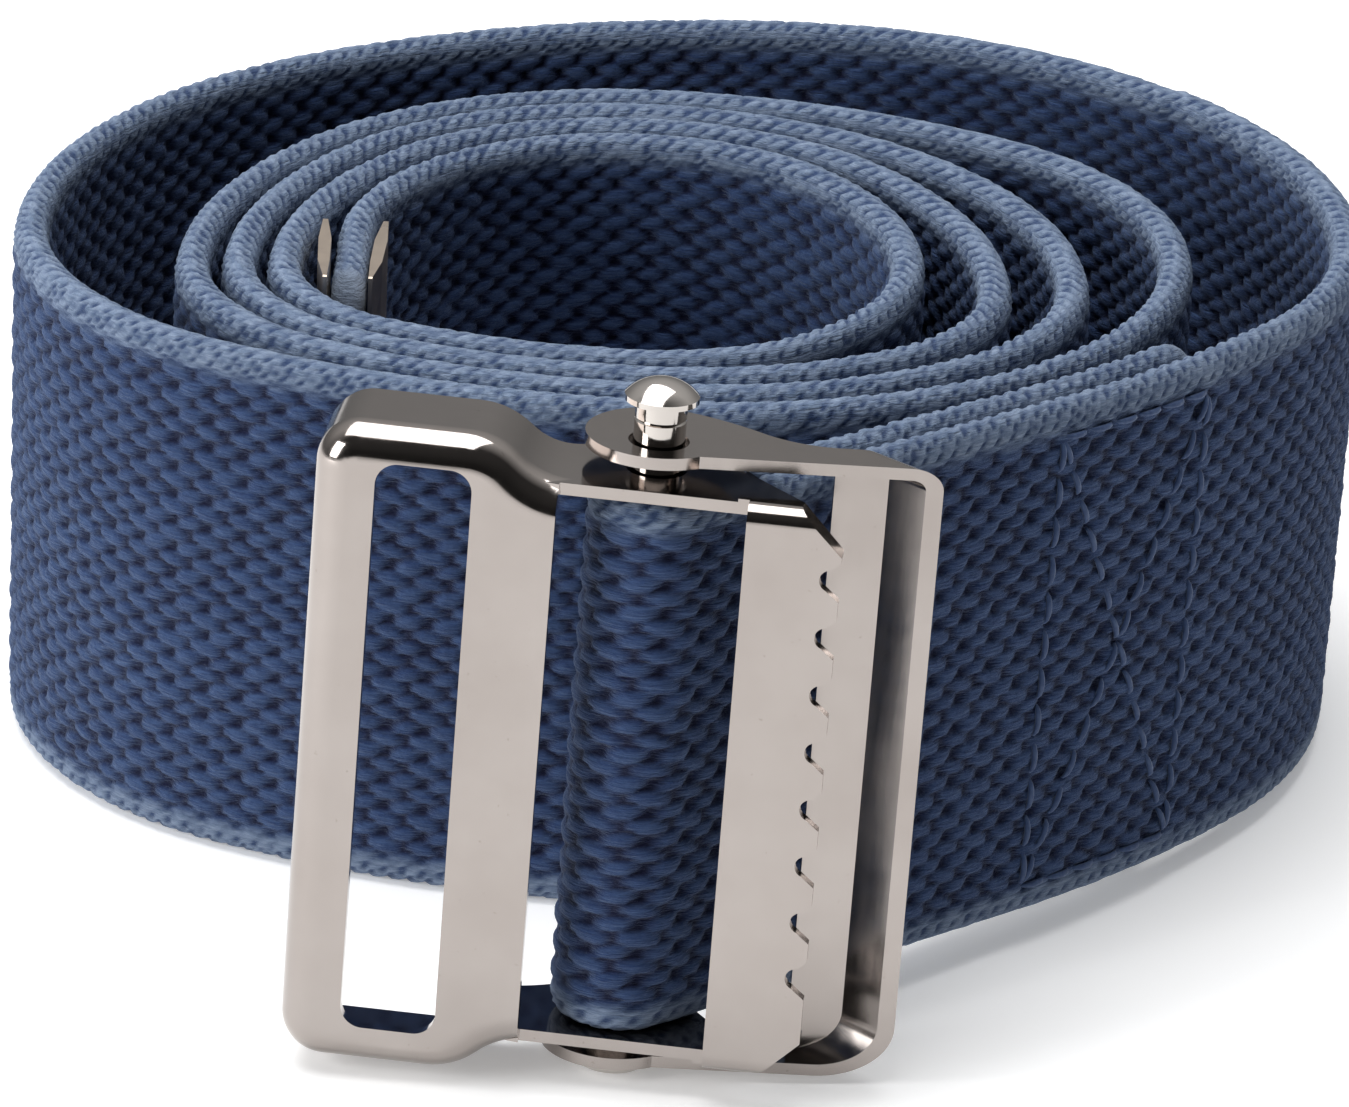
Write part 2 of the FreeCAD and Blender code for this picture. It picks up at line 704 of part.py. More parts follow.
def make_rear_frame():
    arms = []
    for name, height in (("upper_arm", MIDDLE + REAR_INNER), ("lower_arm", MIDDLE - REAR_INNER - PLATE)):
        arms.append(extrude(name, sketch(name + "_plan", rear_arm_plan()), "Sheet.plate", height))
    jaw = combine("Part::Cut", "jaw", jaw_block("jaw_outer", 0.0, 0.0), jaw_block("jaw_inner", PLATE, 2.0))
    body = fuse("rear_body", arms + [jaw])
    bore = doc.addObject("Part::Cylinder", "rear_bore")
    bore.setExpression("Radius", "Sheet.pin_radius + Sheet.bore_clear")
    bore.Height = 80
    frame = combine("Part::Cut", "rear_pressing", body, bore)
    return with_ears_apart("rear_frame", frame, -2 * size("rear_ear"), size("rear_yaw"))


# ---------------------------------------------------------------- rivet


def make_axle_rivet():
    """A headed rivet, turned as one: domed head, grooved shank and a formed tail."""
    tail_top = MIDDLE - REAR_INNER - PLATE - size("tail_gap")
    tail_low = tail_top - size("tail_high")
    head_low = MIDDLE + REAR_INNER + PLATE + size("head_stand")
    rim = head_low + size("head_rim")
    groove = head_low - 1.7
    head = size("head_radius")
    tail = size("tail_radius")
    top = head_low + size("head_high")
    # the dome is part of a sphere centred on the rivet's axis
    ball = (head ** 2 + (top - rim) ** 2) / (2 * (top - rim))
    half_way = math.asin(head / ball) / 2
    shoulder = Vector(ball * math.sin(half_way), top - ball * (1 - math.cos(half_way)), 0)
    dome = Part.Arc(Vector(head, rim, 0), shoulder, Vector(0, top, 0))
    half = [
        Part.LineSegment(Vector(0, tail_low, 0), Vector(tail - 0.4, tail_low, 0)),
        Part.LineSegment(Vector(tail - 0.4, tail_low, 0), Vector(tail, tail_low + 0.4, 0)),
        Part.LineSegment(Vector(tail, tail_low + 0.4, 0), Vector(tail, tail_top, 0)),
        Part.LineSegment(Vector(tail, tail_top, 0), Vector(PIN, tail_top, 0)),
        Part.LineSegment(Vector(PIN, tail_top, 0), Vector(PIN, groove - 0.15, 0)),
        Part.LineSegment(Vector(PIN, groove - 0.15, 0), Vector(PIN - 0.15, groove, 0)),
        Part.LineSegment(Vector(PIN - 0.15, groove, 0), Vector(PIN, groove + 0.15, 0)),
        Part.LineSegment(Vector(PIN, groove + 0.15, 0), Vector(PIN, head_low, 0)),
        Part.LineSegment(Vector(PIN, head_low, 0), Vector(head, head_low, 0)),
        Part.LineSegment(Vector(head, head_low, 0), Vector(head, rim, 0)),
        dome,
        Part.LineSegment(Vector(0, top, 0), Vector(0, tail_low, 0)),
    ]
    rivet = doc.addObject("Part::Revolution", "axle_rivet")
    rivet.Source = sketch("rivet_half", half, Placement(Vector(), UPRIGHT))
    rivet.Axis = Vector(0, 0, 1)
    rivet.Base = Vector()
    rivet.Angle = 360
    rivet.Solid = True
    rivet.Placement = buckle_frame(0)
    return rivet


# ---------------------------------------------------------------- build, check and write

nodes = {
    "webbing": make_webbing(),
    "strap_tip": make_strap_tip(),
    "needle_thread": make_thread("needle_thread", -THICK / 2, 1),
    "bobbin_thread": make_thread("bobbin_thread", THICK * 1.5, -1),
    "front_frame": make_front_frame(),
    "rear_frame": make_rear_frame(),
    "axle_rivet": make_axle_rivet(),
}
doc.recompute()

for item in doc.Objects:
    bad = [state for state in item.State if state in ("Invalid", "Error")]
    if bad:
        raise RuntimeError(f"{item.Name}: {bad}")

for node, item in nodes.items():
    item.Label = node
    shape = item.Shape
    if shape.isNull() or not shape.isValid() or shape.Volume <= 0:
        raise RuntimeError(f"{node} has no valid solid")
    shape.exportStep(f"parts/{node}.step")
    box = shape.BoundBox
    print(f"{node:14s} solids {len(shape.Solids):3d} volume {shape.Volume:9.1f} "
          f"x {box.XMin:7.2f} {box.XMax:7.2f} y {box.YMin:7.2f} {box.YMax:7.2f} z {box.ZMin:7.2f} {box.ZMax:7.2f}")

strap_length = sum(piece.length for piece in coil_pieces() + ramp_pieces())
loop_length = math.pi * (LOOP_INNER + THICK / 2)
print(f"strap cut length {strap_length + STRAIGHT + loop_length + size('flap_len'):.0f} mm, "
      f"rise at the rivet {RISE:.2f} mm, rivet axis {tuple(round(c, 5) for c in PIN_AXIS)}")
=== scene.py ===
import cmath
import math

import bpy
import numpy as np
from mathutils import Matrix, Vector


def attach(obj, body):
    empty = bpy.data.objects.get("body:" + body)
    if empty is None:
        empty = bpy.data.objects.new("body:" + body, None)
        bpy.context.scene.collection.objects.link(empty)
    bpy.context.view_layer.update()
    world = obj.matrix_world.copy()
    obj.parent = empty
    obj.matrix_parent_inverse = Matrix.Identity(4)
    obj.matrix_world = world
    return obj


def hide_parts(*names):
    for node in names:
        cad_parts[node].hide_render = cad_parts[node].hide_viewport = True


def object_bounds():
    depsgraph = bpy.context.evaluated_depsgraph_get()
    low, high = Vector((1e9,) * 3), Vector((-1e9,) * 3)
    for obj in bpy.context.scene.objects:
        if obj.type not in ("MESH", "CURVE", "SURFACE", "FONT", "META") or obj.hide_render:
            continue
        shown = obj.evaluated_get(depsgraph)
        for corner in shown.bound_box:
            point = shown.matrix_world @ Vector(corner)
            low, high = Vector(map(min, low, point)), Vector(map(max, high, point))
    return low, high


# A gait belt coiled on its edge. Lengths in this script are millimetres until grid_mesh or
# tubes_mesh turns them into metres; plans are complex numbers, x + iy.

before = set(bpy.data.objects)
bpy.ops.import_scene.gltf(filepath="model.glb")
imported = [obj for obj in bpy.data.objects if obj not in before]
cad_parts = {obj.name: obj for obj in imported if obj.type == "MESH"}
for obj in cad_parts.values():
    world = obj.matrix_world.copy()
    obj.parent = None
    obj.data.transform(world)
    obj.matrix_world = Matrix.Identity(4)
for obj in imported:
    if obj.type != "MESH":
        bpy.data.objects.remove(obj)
CAD_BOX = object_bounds()
MM = 0.001

WIDTH = 50.8
THICK = 3.6
FOOT = complex(-3.8, -65.5)      # the rivet's foot
HEADING = math.radians(43.9)     # the strap's way from the rivet
SLOPE = math.radians(2.7)        # its climb to the buckle
LEAN = 0.24                      # the lean's shift of the strap's end
LOOP = 4.25                      # the strap's middle line round the rivet
STRAIGHT = 45.0
FLAP = 70.0
TEARDROP = 16.0
FIRST = complex(62.8, 20.6)      # where the climb begins
LEVEL_AFTER = 40.0               # from here past it the strap stands flat on the floor
SETTLE = 0.5                     # how softly the climb begins
STEP = 0.15                      # spacing of the points along the plan curves

TURNS = [
    ((62.8, 20.6), (11.0, 73.1), (-62.8, 10.6), (-1.0, -32.2)),
    ((46.8, 12.2), (-4.0, 50.7), (-46.8, 1.6), (-2.0, -28.1)),
    ((36.7, 3.9), (-5.0, 46.5), (-42.4, 1.8), (-3.0, -24.0)),
    ((29.3, 1.7), (-5.0, 42.3), (-38.1, 1.8), (-4.0, -19.9)),
]
LAST_TURN = ((21.1, 7.9), (-5.0, 37.9))
STRAP_END = [(-31.8, 9.3), (-31.8, -5.2)]

# ---------------------------------------------------------------- plan curves


def arc(start, heading, end):
    """Points along the arc that leaves start at heading and reaches end."""
    chord = end - start
    side = heading * 1j
    radius = abs(chord) ** 2 / (2 * (chord * side.conjugate()).real)
    turn = 2 * cmath.phase(chord / heading)
    count = max(6, int(abs(radius * turn) / STEP))
    centre = start + side * radius
    return centre + (start - centre) * np.exp(1j * turn * np.linspace(0, 1, count))


def biarc(start, heading0, end, heading1):
    """Points along two tangent arcs between two points with given headings."""
    t0 = cmath.rect(1, heading0)
    t1 = cmath.rect(1, heading1)
    span = end - start
    both = t0 + t1
    a = abs(both) ** 2 - 4
    b = -2 * (span * both.conjugate()).real
    c = abs(span) ** 2
    reach = 2 * c / (math.sqrt(b * b - 4 * a * c) - b)
    joint = (start + t0 * reach + end - t1 * reach) / 2
    middle = end - t1 * reach - start - t0 * reach
    return np.concatenate([arc(start, t0, joint), arc(joint, middle / abs(middle), end)])


def line(start, end):
    count = max(2, int(abs(end - start) / STEP))
    return start + (end - start) * np.linspace(0, 1, count)


def lengths(path):
    """The distance along a path to each of its points."""
    return np.concatenate([[0], np.cumsum(np.abs(np.diff(path)))])


def at_end(x, y):
    """A plan point of the strap's end: x along it from the rivet, y to the coil's side."""
    shift = LEAN * (1 - x / STRAIGHT)
    return FOOT + cmath.rect(1, HEADING) * complex(x + shift, y)


def strap_route():
    """The strap's whole middle line, from the flap's end to the free end."""
    back = HEADING + math.pi
    ramp = biarc(at_end(STRAIGHT, -LOOP), HEADING, FIRST, math.pi / 2)
    sewn = ramp[lengths(ramp) <= FLAP - STRAIGHT]
    inward = 1j * np.gradient(sewn)
    flap = sewn + inward / np.abs(inward) * THICK
    stops = [complex(*point) for turn in TURNS for point in turn]
    stops += [complex(*point) for point in LAST_TURN]
    coil = []
    for index in range(len(stops) - 1):
        here = (index % 4 + 1) * math.pi / 2
        there = (index + 1) % 4 * math.pi / 2 + math.pi / 2
        coil.append(biarc(stops[index], here, stops[index + 1], there))
    coil.append(biarc(stops[-1], math.pi, complex(*STRAP_END[0]), 1.5 * math.pi))
    coil.append(line(complex(*STRAP_END[0]), complex(*STRAP_END[1])))
    side = THICK - LOOP
    parts = [
        flap[::-1],
        line(at_end(STRAIGHT, side), at_end(TEARDROP, side)),
        biarc(at_end(TEARDROP, side), back, at_end(0, LOOP), back),
        arc(at_end(0, LOOP), cmath.rect(1, back), at_end(-LOOP, 0)),
        arc(at_end(-LOOP, 0), cmath.rect(1, back + math.pi / 2), at_end(0, -LOOP)),
        line(at_end(0, -LOOP), at_end(STRAIGHT, -LOOP)),
        ramp,
    ]
    path = np.concatenate(parts + coil)
    return path[np.concatenate([[True], np.abs(np.diff(path)) > 0.01])]


class Strap:
    """The strap's middle line, walked evenly, with the floor it stands on."""

    def __init__(self):
        route = strap_route()
        done = lengths(route)
        self.length = done[-1]
        self.count = int(self.length / ROW) + 1
        self.s = np.linspace(0, self.length, self.count)
        self.plan = self.read(done, route, self.s)
        ahead = np.gradient(self.plan)
        self.side = 1j * ahead / np.abs(ahead)
        along = cmath.rect(1, HEADING)
        climb = math.tan(SLOPE) * ((FIRST - self.plan) * along.conjugate()).real
        first = np.argmin(np.abs(self.plan[: self.count // 4] - FIRST))
        passed = self.s > self.s[first] + LEVEL_AFTER
        root = np.sqrt(climb ** 2 + SETTLE)
        self.base = np.where(passed, 0, (climb + root) / 2 - 0.02)
        lean = np.where(passed, 0, (1 + climb / root) / 2 * math.tan(SLOPE))
        up = np.stack([lean * along.real, lean * along.imag, np.ones(self.count)], axis=-1)
        self.up = up / np.linalg.norm(up, axis=-1, keepdims=True)
        # the rivet's side of the loop, from which the strap's end is measured
        self.rivet = self.s[np.argmin(np.abs(self.plan - at_end(0, -LOOP)))]

    @staticmethod
    def read(done, values, s):
        """Complex values known at some distances, read between them."""
        return np.interp(s, done, values.real) + 1j * np.interp(s, done, values.imag)

    def points(self, s, height, out):
        """Points a distance along the strap, a height up its width and an offset to its left."""
        plan = self.read(self.s, self.plan, s)
        side = self.read(self.s, self.side, s)
        base = np.interp(s, self.s, self.base)
        up = np.stack([np.interp(s, self.s, self.up[:, axis]) for axis in range(3)], axis=-1)
        flat = plan + side * out
        foot = np.stack([flat.real, flat.imag, base + 0 * out], axis=-1)
        return foot + up * np.asarray(height)[..., None]


# ---------------------------------------------------------------- the weave

CELL_LONG = 3.7       # pitch of the weave's gaps along the strap
CELL_HIGH = 2.7       # and up its width
ROW = CELL_LONG / 6
COLUMN = CELL_HIGH / 8
CORE = 1.22           # half thickness of the cloth under the floats
FLOAT_HIGH = 0.55     # how far the floats of yarn stand out
FLOAT_LONG = 1.66     # half a float's length
FLOAT_WIDE = 0.82     # half a float's width
GAP_LONG = 0.8        # a gap's spread along the strap
GAP_WIDE = 0.5        # and up its width
GAP_DEEP = 0.32       # how far a gap sinks into the cloth
SELVEDGE = 1.9        # width of the rounded selvedge
MARGIN = 3.4          # the selvedge's finer weave begins this far from the edge
MARGIN_EASE = 1.2     # and is complete this much nearer
MARGIN_FLOOR = 0.30   # the finer weave's lowest relief
MARGIN_RELIEF = 0.62  # and how far its floats rise above that
CORNER = 4.0          # radius of the cut ends' corners
SEAL = 4.0            # length of the sealed cut ends
SEAL_EASE = 1.6       # over which the weave fades into them
SEAL_RELIEF = 0.75    # their even relief
TAPER = 1.2           # length over which a cut end thins


def hashed(i, j, seed):
    """The same well-mixed number from 0 to 1 for the same whole numbers."""
    value = np.sin(i * 127.1 + j * 311.7 + seed * 74.7) * 43758.5453
    return value - np.floor(value)


def weave(s, w, seed):
    """Height of the floats from 0 to 1, and how near a gap lies, at a distance and a height."""
    best = np.zeros(np.broadcast(s, w).shape)
    for family, (shift_s, shift_w) in enumerate([(0.0, CELL_HIGH / 2), (CELL_LONG / 2, 0.0)]):
        u = s - shift_s
        v = w - shift_w
        i = np.round(u / CELL_LONG)
        j = np.round(v / CELL_HIGH)
        du = u - CELL_LONG * i
        tilt = 0.10 + 0.10 * hashed(i, j, seed + family + 3)
        dv = v - CELL_HIGH * j + tilt * du * (1 - 2 * family)
        plump = 0.90 + 0.2 * hashed(i, j, seed + family)
        reach = 1 - (du / (FLOAT_LONG * plump)) ** 2 - (dv / (FLOAT_WIDE * plump)) ** 2
        best = np.maximum(best, plump * np.clip(reach, 0, 1) ** 0.45)
    du = s - CELL_LONG * np.round(s / CELL_LONG)
    dv = w - CELL_HIGH * np.round(w / CELL_HIGH)
    gap = np.exp(-(du / GAP_LONG) ** 2 - (dv / GAP_WIDE) ** 2)
    return best, gap


def grid_mesh(name, points, ends):
    """A closed tube of quads over a grid of points in mm, with quads bridging its two ends."""
    rows, columns = points.shape[:2]
    index = np.arange(rows * columns).reshape(rows, columns)
    ring = np.roll(index, -1, axis=1)
    quads = np.stack([index[:-1], ring[:-1], ring[1:], index[1:]], axis=-1).reshape(-1, 4)
    half = columns // 2
    mirrored = np.arange(columns)[::-1]
    for row, flip in ends:
        a = index[row][:half]
        b = index[row][mirrored[:half]]
        cap = np.stack([a[:-1], b[:-1], b[1:], a[1:]], axis=-1)
        quads = np.concatenate([quads, cap[:, ::-1] if flip else cap])
    return quad_mesh(name, points.reshape(-1, 3) * MM, quads)


def quad_mesh(name, points, quads, smooth=True):
    """A mesh of quads over points in metres."""
    mesh = bpy.data.meshes.new(name)
    mesh.vertices.add(len(points))
    mesh.vertices.foreach_set("co", points.ravel())
    mesh.loops.add(quads.size)
    mesh.loops.foreach_set("vertex_index", quads.ravel())
    mesh.polygons.add(len(quads))
    mesh.polygons.foreach_set("loop_start", np.arange(0, quads.size, quads.shape[1]))
    mesh.polygons.foreach_set("loop_total", np.full(len(quads), quads.shape[1]))
    mesh.polygons.foreach_set("use_smooth", np.full(len(quads), smooth))
    mesh.update(calc_edges=True)
    mesh.validate()
    return mesh


def place(name, mesh, material, body, slot):
    """One visible piece that rides on a body."""
    piece = bpy.data.objects.new(name, mesh)
    bpy.context.scene.collection.objects.link(piece)
    mesh.materials.append(material)
    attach(piece, body)
    return piece


def section():
    """The strap's cross-section, once round: heights, offsets and the way square to it."""
    low = SELVEDGE
    faces = np.arange(low, WIDTH - low + 0.01, COLUMN)
    turn = np.linspace(0, math.pi, 11)[1:-1]
    reach = low - FLOAT_HIGH
    flat = np.zeros(len(faces))
    height = np.concatenate([
        faces, faces[-1] + (WIDTH - FLOAT_HIGH - faces[-1]) * np.sin(turn),
        faces[::-1], low - reach * np.sin(turn)])
    out = CORE * np.concatenate([flat - 1, -np.cos(turn), flat + 1, np.cos(turn)])
    square_up = np.concatenate([flat, np.sin(turn), flat, -np.sin(turn)])
    square_out = np.concatenate([flat - 1, -np.cos(turn), flat + 1, np.cos(turn)])
    # start the ring at the lowest point, so that its two halves face each other
    shift = len(turn) // 2
    return [np.roll(value, shift) for value in (height, out, square_up, square_out)]


def make_webbing(strap):
    """The whole strap as one closed woven mesh, with what its material reads."""
    height, out, square_up, square_out = section()
    round_way = np.concatenate([[0], np.cumsum(np.hypot(np.diff(height), np.diff(out)))])
    s = strap.s[:, None]
    inside = out > 0
    floats, gap = weave(s, height[None, :], np.where(inside, 7, 0)[None, :])
    fine, _ = weave(2 * s, 2 * round_way[None, :], 11)
    edge = np.minimum(height, WIDTH - height)
    margin = np.clip((MARGIN - edge) / MARGIN_EASE, 0, 1)[None, :]
    relief = floats * (1 - margin) + (MARGIN_FLOOR + MARGIN_RELIEF * fine) * margin
    # both cut ends are sealed smooth, thinner at the very end and rounded at their corners
    ends = np.minimum(s, strap.length - s)
    sealed = np.clip((SEAL - ends) / SEAL_EASE, 0, 1)
    relief = relief * (1 - sealed) + SEAL_RELIEF * sealed
    lift = FLOAT_HIGH * relief - GAP_DEEP * gap * (1 - margin) * (1 - sealed)
    thin = np.sqrt(np.clip(1 - (1 - ends / TAPER) ** 2 * (ends < TAPER), 0.12, 1))
    side = (out[None, :] + lift * square_out[None, :]) * thin
    up = np.clip(height[None, :] + lift * square_up[None, :], 0.0, WIDTH)
    short = np.clip(CORNER - ends, 0, CORNER)
    cut = CORNER - np.sqrt(CORNER ** 2 - short ** 2)
    up = WIDTH / 2 + (up - WIDTH / 2) * (1 - 2 * cut / WIDTH)
    mesh = grid_mesh("webbing", strap.points(s + 0 * side, up, side), [(0, False), (-1, True)])
    cloth = mesh.attributes.new("cloth", "FLOAT_VECTOR", "POINT")
    cloth.data.foreach_set("vector", np.stack([s + 0 * side, up, side], axis=-1).ravel())
    # the relief the material reads is lowered at the weave's gaps, which darkens the colour
    # there as painted shade
    shares = {
        "relief": relief * (1 - 0.6 * gap * (1 - margin)),
        "margin": margin + 0 * side,
        "sealed": sealed + 0 * side,
    }
    for name, share in shares.items():
        mesh.attributes.new(name, "FLOAT", "POINT").data.foreach_set("value", share.ravel())
    return mesh


# ---------------------------------------------------------------- materials


class Shader:
    """A material's node tree, built by small calls."""

    def __init__(self, name):
        self.material = bpy.data.materials.new(name)
        self.material.use_nodes = True
        self.tree = self.material.node_tree
        self.surface = self.tree.nodes["Principled BSDF"]

    def node(self, kind, inputs=None, **settings):
        made = self.tree.nodes.new(kind)
        for key, value in settings.items():
            setattr(made, key, value)
        for key, value in (inputs or {}).items():
            self.feed(made.inputs[key], value)
        return made

    def feed(self, socket, value):
        if isinstance(value, bpy.types.NodeSocket):
            self.tree.links.new(value, socket)
        else:
            socket.default_value = value

    def math(self, operation, a, b):
        return self.node("ShaderNodeMath", {0: a, 1: b}, operation=operation).outputs[0]

    def mix(self, share, a, b):
        """A colour between a and b."""
        made = self.node("ShaderNodeMix", data_type="RGBA")
        for key, value in (("Factor_Float", share), ("A_Color", a), ("B_Color", b)):
            socket = next(item for item in made.inputs if item.identifier == key)
            self.feed(socket, value)
        return next(item for item in made.outputs if item.identifier == "Result_Color")

    def between(self, value, low, high, to_low, to_high):
        return self.node("ShaderNodeMapRange", {
            "Value": value, "From Min": low, "From Max": high,
            "To Min": to_low, "To Max": to_high}).outputs["Result"]

    def noise(self, vector, scale, detail=2.0, rough=0.5):
        return self.node("ShaderNodeTexNoise", {
            "Vector": vector, "Scale": scale, "Detail": detail,
            "Roughness": rough}).outputs["Fac"]

    def attribute(self, name, output):
        return self.node("ShaderNodeAttribute", attribute_name=name).outputs[output]

    def stretched(self, vector, scale):
        return self.node("ShaderNodeMapping", {"Vector": vector, "Scale": scale}).outputs[0]

    def bump(self, height, strength, distance, below=None):
        inputs = {"Height": height, "Strength": strength, "Distance": distance}
        if below is not None:
            inputs["Normal"] = below
        return self.node("ShaderNodeBump", inputs).outputs["Normal"]

    def end(self, **sockets):
        """Sets the surface's sockets; underscores stand for spaces."""
        for key, value in sockets.items():
            self.feed(self.surface.inputs[key.replace("_", " ")], value)
        return self.material


def rgb(red, green, blue):
    return (red, green, blue, 1.0)


def webbing_material():
    shader = Shader("navy_webbing")
    cloth = shader.attribute("cloth", "Vector")
    relief = shader.attribute("relief", "Fac")
    margin = shader.attribute("margin", "Fac")
    sealed = shader.attribute("sealed", "Fac")
    strands = shader.noise(shader.stretched(cloth, (0.5, 3.6, 1.0)), 1.0, 4.0, 0.65)
    patches = shader.noise(shader.stretched(cloth, (0.05, 0.09, 0.1)), 1.0, 3.0)
    specks = shader.noise(shader.stretched(cloth, (1.6, 1.6, 1.0)), 1.0, 2.0)
    strands = shader.between(strands, 0.3, 0.7, 0.0, 1.0)
    yarn = shader.mix(strands, rgb(0.007, 0.022, 0.085), rgb(0.038, 0.076, 0.178))
    patches = shader.between(patches, 0.35, 0.7, 0.0, 0.5)
    yarn = shader.mix(patches, yarn, rgb(0.014, 0.036, 0.110))
    # painted shade: the weave's gaps and low places take a near black blue in place of the
    # yarn's colour
    gap_shade_mask = shader.between(relief, 0.10, 0.82, 0.0, 1.0)
    face = shader.mix(gap_shade_mask, rgb(0.0006, 0.002, 0.026), yarn)
    # painted light: both selvedges take a pale colour for the light from above on the strap's
    # top edge, and the low places of their finer weave a darker painted shade; the margin lays
    # this over the face colour
    pale = shader.mix(strands, rgb(0.105, 0.152, 0.235), rgb(0.235, 0.295, 0.40))
    pit_shade_mask = shader.between(relief, 0.42, 0.80, 0.0, 1.0)
    pale = shader.mix(pit_shade_mask, rgb(0.024, 0.048, 0.12), pale)
    cover = shader.mix(shader.math("MULTIPLY", margin, 0.9), face, pale)
    cover = shader.mix(sealed, cover, rgb(0.16, 0.20, 0.27))
    rough = shader.between(strands, 0.2, 0.8, 0.95, 0.78)
    bump = shader.bump(strands, 0.8, 0.00030)
    bump = shader.bump(specks, 0.35, 0.00025, bump)
    return shader.end(Base_Color=cover, Roughness=rough, Normal=bump, Sheen_Weight=0.22,
                      Sheen_Roughness=0.5, Sheen_Tint=rgb(0.62, 0.76, 1.0),
                      Specular_IOR_Level=0.25)


def plate_material(name, warm, dark, rough_low, rough_high):
    """Bright warm nickel plate with faint rolling lines, haze and rubbed places."""
    shader = Shader(name)
    place = shader.node("ShaderNodeTexCoord").outputs["Object"]
    haze = shader.noise(place, 70.0, 4.0, 0.6)
    grain = shader.noise(shader.stretched(place, (900.0, 900.0, 60.0)), 1.0, 2.0)
    pits = shader.noise(place, 1400.0, 2.0)
    colour = shader.mix(shader.between(haze, 0.3, 0.7, 0.0, 1.0), warm, dark)
    pits = shader.between(pits, 0.72, 0.78, 0.0, 0.35)
    colour = shader.mix(pits, colour, rgb(0.20, 0.17, 0.15))
    rough = shader.between(haze, 0.3, 0.7, rough_low, rough_high)
    rough = shader.math("ADD", rough, shader.between(grain, 0.3, 0.7, -0.02, 0.03))
    bump = shader.bump(grain, 0.04, 0.00003)
    bump = shader.bump(haze, 0.08, 0.0002, bump)
    return shader.end(Base_Color=colour, Metallic=1.0, Roughness=rough, Normal=bump)


def thread_material():
    shader = Shader("navy_thread")
    place = shader.node("ShaderNodeTexCoord").outputs["Object"]
    ply = shader.noise(shader.stretched(place, (2600.0, 2600.0, 1400.0)), 1.0, 2.0)
    colour = shader.mix(ply, rgb(0.010, 0.028, 0.095), rgb(0.045, 0.085, 0.185))
    bump = shader.bump(ply, 0.5, 0.00012)
    return shader.end(Base_Color=colour, Roughness=shader.between(ply, 0.3, 0.7, 0.75, 0.6),
                      Normal=bump, Sheen_Weight=0.25, Sheen_Roughness=0.4,
                      Sheen_Tint=rgb(0.7, 0.8, 1.0))


def floor_material():
    shader = Shader("pale_floor")
    place = shader.node("ShaderNodeTexCoord").outputs["Object"]
    tone = shader.noise(place, 9.0, 3.0)
    colour = shader.mix(tone, rgb(0.90, 0.90, 0.90), rgb(0.94, 0.94, 0.94))
    return shader.end(Base_Color=colour, Roughness=0.9, Emission_Color=rgb(1.0, 1.0, 1.0),
                      Emission_Strength=0.25)


# ---------------------------------------------------------------- threads


STITCH_LONG = 3.6     # one stitch with its share of the gap to the next
STITCH_INSET = 3.2    # from the strap's edges to the stitched box
THREAD = 0.28         # the thread's radius


def stitch(tail, tip, out, radius):
    """One stitch: a thin tube that dives into the cloth at both ends."""
    around = 8
    shares = np.array([0.0, 0.12, 0.3, 0.5, 0.7, 0.88, 1.0])
    rise = np.array([-0.55, -0.05, 0.22, 0.3, 0.22, -0.05, -0.55]) * radius * 2
    girth = np.array([0.55, 0.85, 1.0, 1.05, 1.0, 0.85, 0.55]) * radius
    run = (tip - tail) / np.linalg.norm(tip - tail)
    across = np.cross(run, out)
    turn = np.linspace(0, 2 * math.pi, around, endpoint=False)
    middle = tail + (tip - tail) * shares[:, None] + out * rise[:, None]
    ring = np.cos(turn)[:, None] * out + np.sin(turn)[:, None] * across
    return middle[:, None, :] + ring[None] * girth[:, None, None]


def tubes_mesh(name, tubes):
    """One mesh of several closed tubes of the same grid size, in mm."""
    rows, columns = tubes[0].shape[:2]
    index = np.arange(rows * columns).reshape(rows, columns)
    ring = np.roll(index, -1, axis=1)
    quads = np.stack([index[:-1], index[1:], ring[1:], ring[:-1]], axis=-1).reshape(-1, 4)
    half = columns // 2
    caps = []
    for row, flip in ((0, False), (-1, True)):
        a = index[row][:half]
        b = index[row][::-1][:half]
        cap = np.stack([a[:-1], a[1:], b[1:], b[:-1]], axis=-1)
        caps.append(cap[:, ::-1] if flip else cap)
    quads = np.concatenate([quads] + caps)
    every = np.concatenate([quads + rows * columns * number for number in range(len(tubes))])
    return quad_mesh(name, np.concatenate([tube.reshape(-1, 3) for tube in tubes]) * MM, every)


def box_stitch(strap, offset, facing):
    """The stitches of a box with a cross, on one face of the strap's sewn end."""
    near, far, low, high = 45.5, 66.0, STITCH_INSET, WIDTH - STITCH_INSET
    lines = [((near, low), (near, high)), ((far, low), (far, high)),
             ((near, low), (far, low)), ((near, high), (far, high)),
             ((near, low), (far, high)), ((near, high), (far, low))]
    tubes = []
    for start, end in lines:
        start, end = np.array(start), np.array(end)
        count = max(2, round(float(np.linalg.norm(end - start)) / STITCH_LONG))
        for index in range(count):
            ends = [start + (end - start) * (index + share) / count for share in (0.08, 0.92)]
            s = strap.rivet + np.array([ends[0][0], ends[1][0]])
            height = np.array([ends[0][1], ends[1][1]])
            tail, tip = strap.points(s, height, offset + np.zeros(2))
            outer = strap.points(s, height, offset + np.full(2, float(facing)))
            out = (outer - np.stack([tail, tip])).mean(axis=0)
            tubes.append(stitch(tail, tip, out / np.linalg.norm(out), THREAD))
    return tubes


# ---------------------------------------------------------------- cap of the free end


CAP_LOW = 0.3         # the cap's lower end
CAP_HIGH = WIDTH + 0.4
CAP_FOLD = WIDTH - 5.0  # how high the end fold reaches
CAP_EASE = 0.15       # its eased edges


